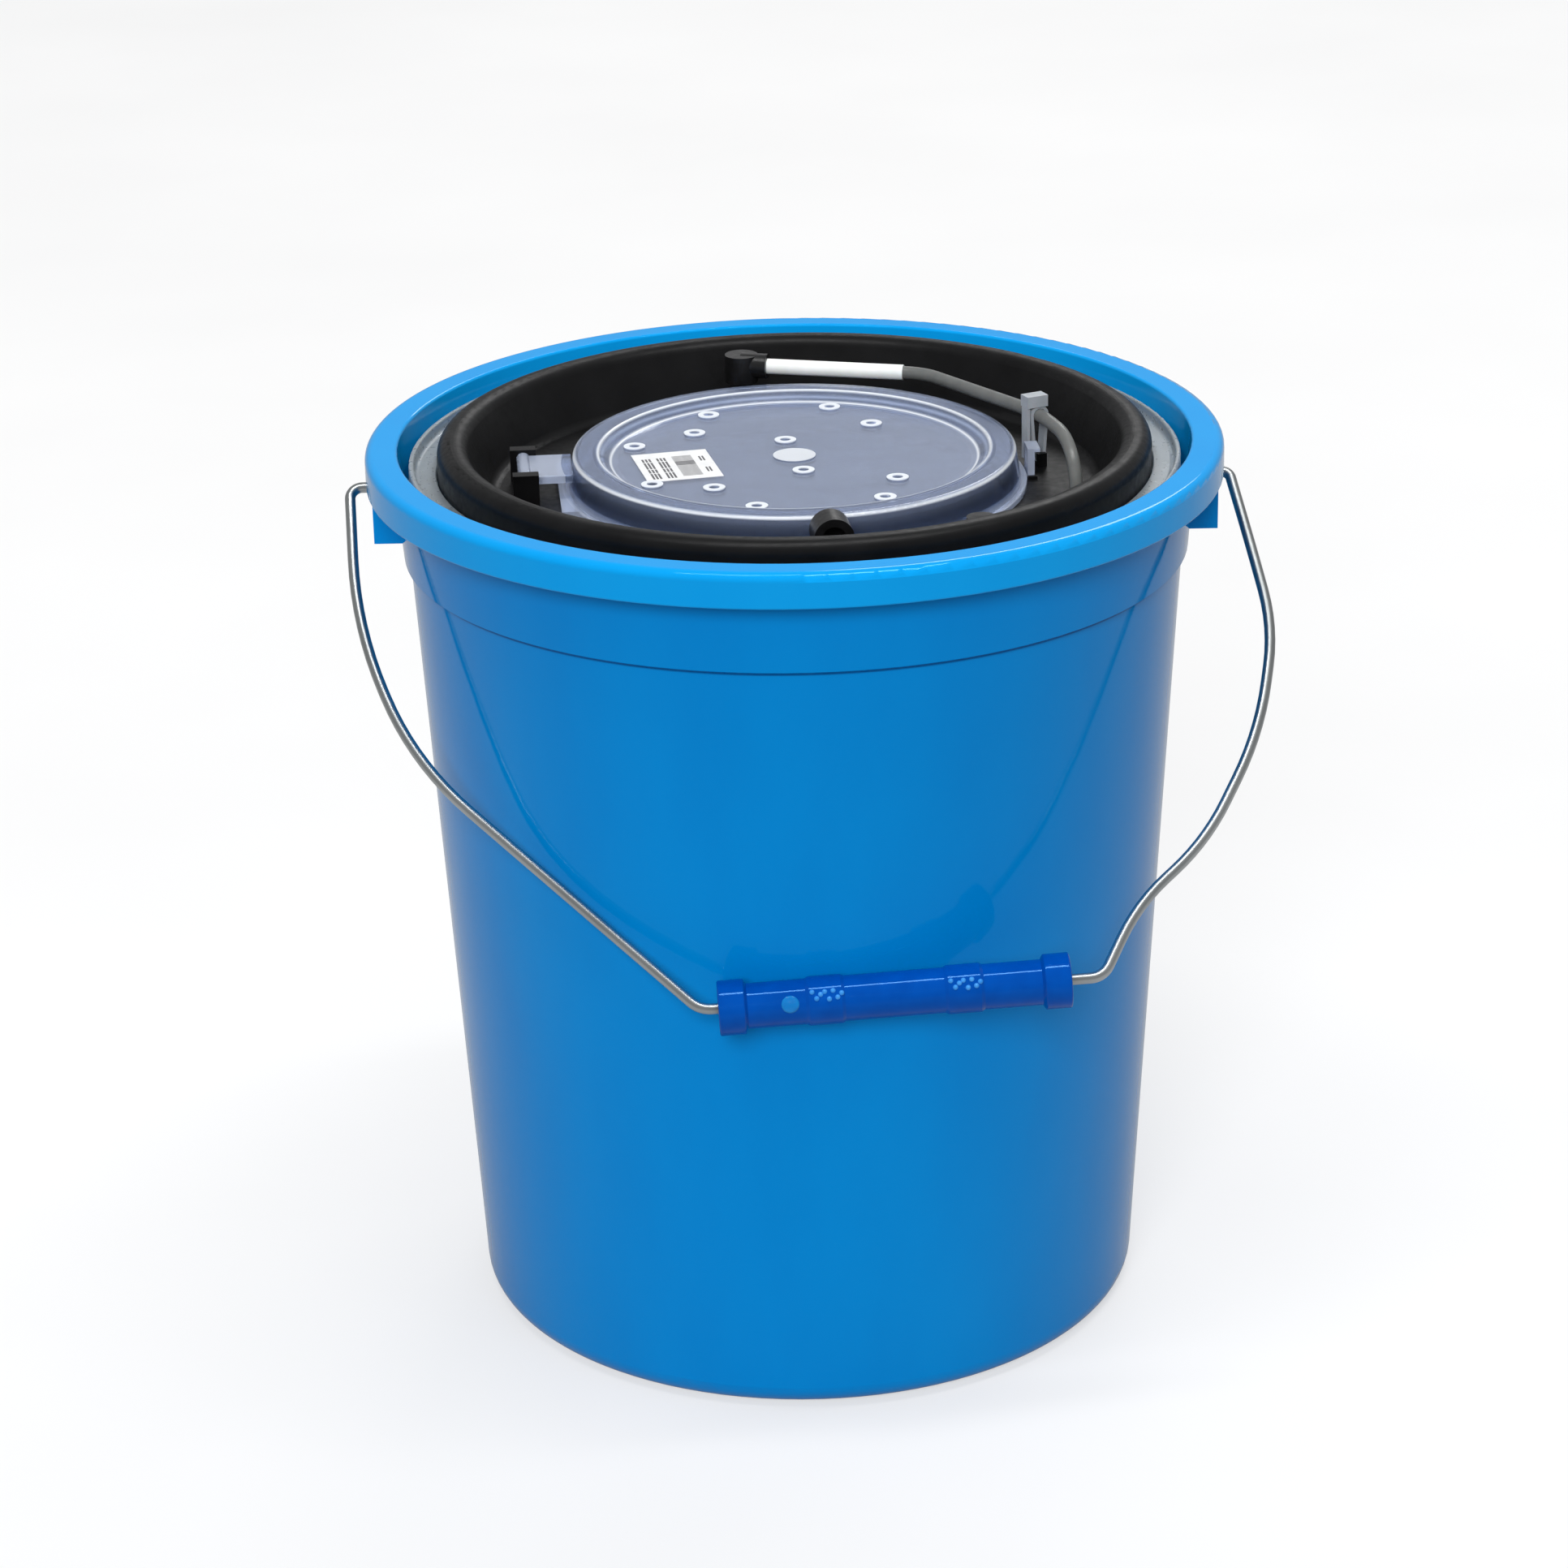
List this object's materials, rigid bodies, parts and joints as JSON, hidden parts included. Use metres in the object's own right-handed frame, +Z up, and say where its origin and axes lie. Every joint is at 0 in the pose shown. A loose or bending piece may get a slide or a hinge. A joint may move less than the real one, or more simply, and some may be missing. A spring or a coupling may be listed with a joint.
{
  "type": "aerated bait bucket",
  "caption": "Round pail with a swinging wire bail, a lift-out tub, a dished lid with a hinged clear vented hatch, and an air line that runs through the lid to an air stone.",
  "frame": {"origin": "centre of the pail's base, on the ground", "axes": "+Z up, -Y towards the side on which the bail hangs, +X to the right seen from there"},
  "size_m": [0.3448, 0.3199, 0.3495],
  "materials": {
    "pail_blue": "gloss",
    "grip_blue": "gloss",
    "bail_steel": "galvanised",
    "tub_natural": "translucent",
    "tray_black": "satin",
    "hatch_clear": "clear",
    "fitting_black": "satin",
    "rubber_black": "matte",
    "stem_white": "satin",
    "tube_natural": "satin",
    "tie_natural": "satin",
    "stone_grey": "rough"
  },
  "bodies": {
    "pail": {"outer_bucket": "pail_blue"},
    "bail": {"bail_wire": "bail_steel"},
    "grip": {"bail_grip": "grip_blue"},
    "tub": {"inner_tub": "tub_natural"},
    "tray": {"tray_lid": "tray_black", "hinge_cradle": "tray_black", "inlet_elbow": "fitting_black", "inlet_washer": "rubber_black", "inlet_lock_nut": "fitting_black", "hose_port": "fitting_black", "port_washer": "rubber_black", "port_lock_nut": "fitting_black", "air_stem": "stem_white", "air_tube": "tube_natural", "cable_tie": "tie_natural", "tube_grommet": "rubber_black", "air_stone": "stone_grey", "stone_nipple": "stem_white"},
    "hatch": {"hatch_lid": "hatch_clear"},
    "catch": {"hatch_catch": "hatch_clear"}
  },
  "joints": [
    {"name": "bail_swing", "type": "hinge", "parent": "pail", "child": "bail", "pos_m": [0, 0, 0.324], "axis": [-1, 0, 0], "range_deg": [0, 269]},
    {"name": "grip_spin", "type": "hinge", "parent": "bail", "child": "grip", "pos_m": [-0.0372, -0.14912, 0.17486], "axis": [0.9977, 0.0475, 0.0475], "continuous": true},
    {"name": "tub_lift", "type": "slide", "parent": "pail", "child": "tub", "axis": [0, 0, 1], "range_m": [0, 0.34]},
    {"name": "tray_lift", "type": "slide", "parent": "tub", "child": "tray", "axis": [0, 0, 1], "range_m": [0, 0.33]},
    {"name": "hatch_swing", "type": "hinge", "parent": "tray", "child": "hatch", "pos_m": [-0.10062, -0.0088, 0.3324], "axis": [0.0872, -0.9962, 0], "range_deg": [0, 115]},
    {"name": "catch_flex", "type": "hinge", "parent": "hatch", "child": "catch", "pos_m": [0.08836, 0.00773, 0.3223], "axis": [-0.0872, 0.9962, 0], "range_deg": [0, 10], "stiffness_Nm_per_rad": 0.05}
  ]
}
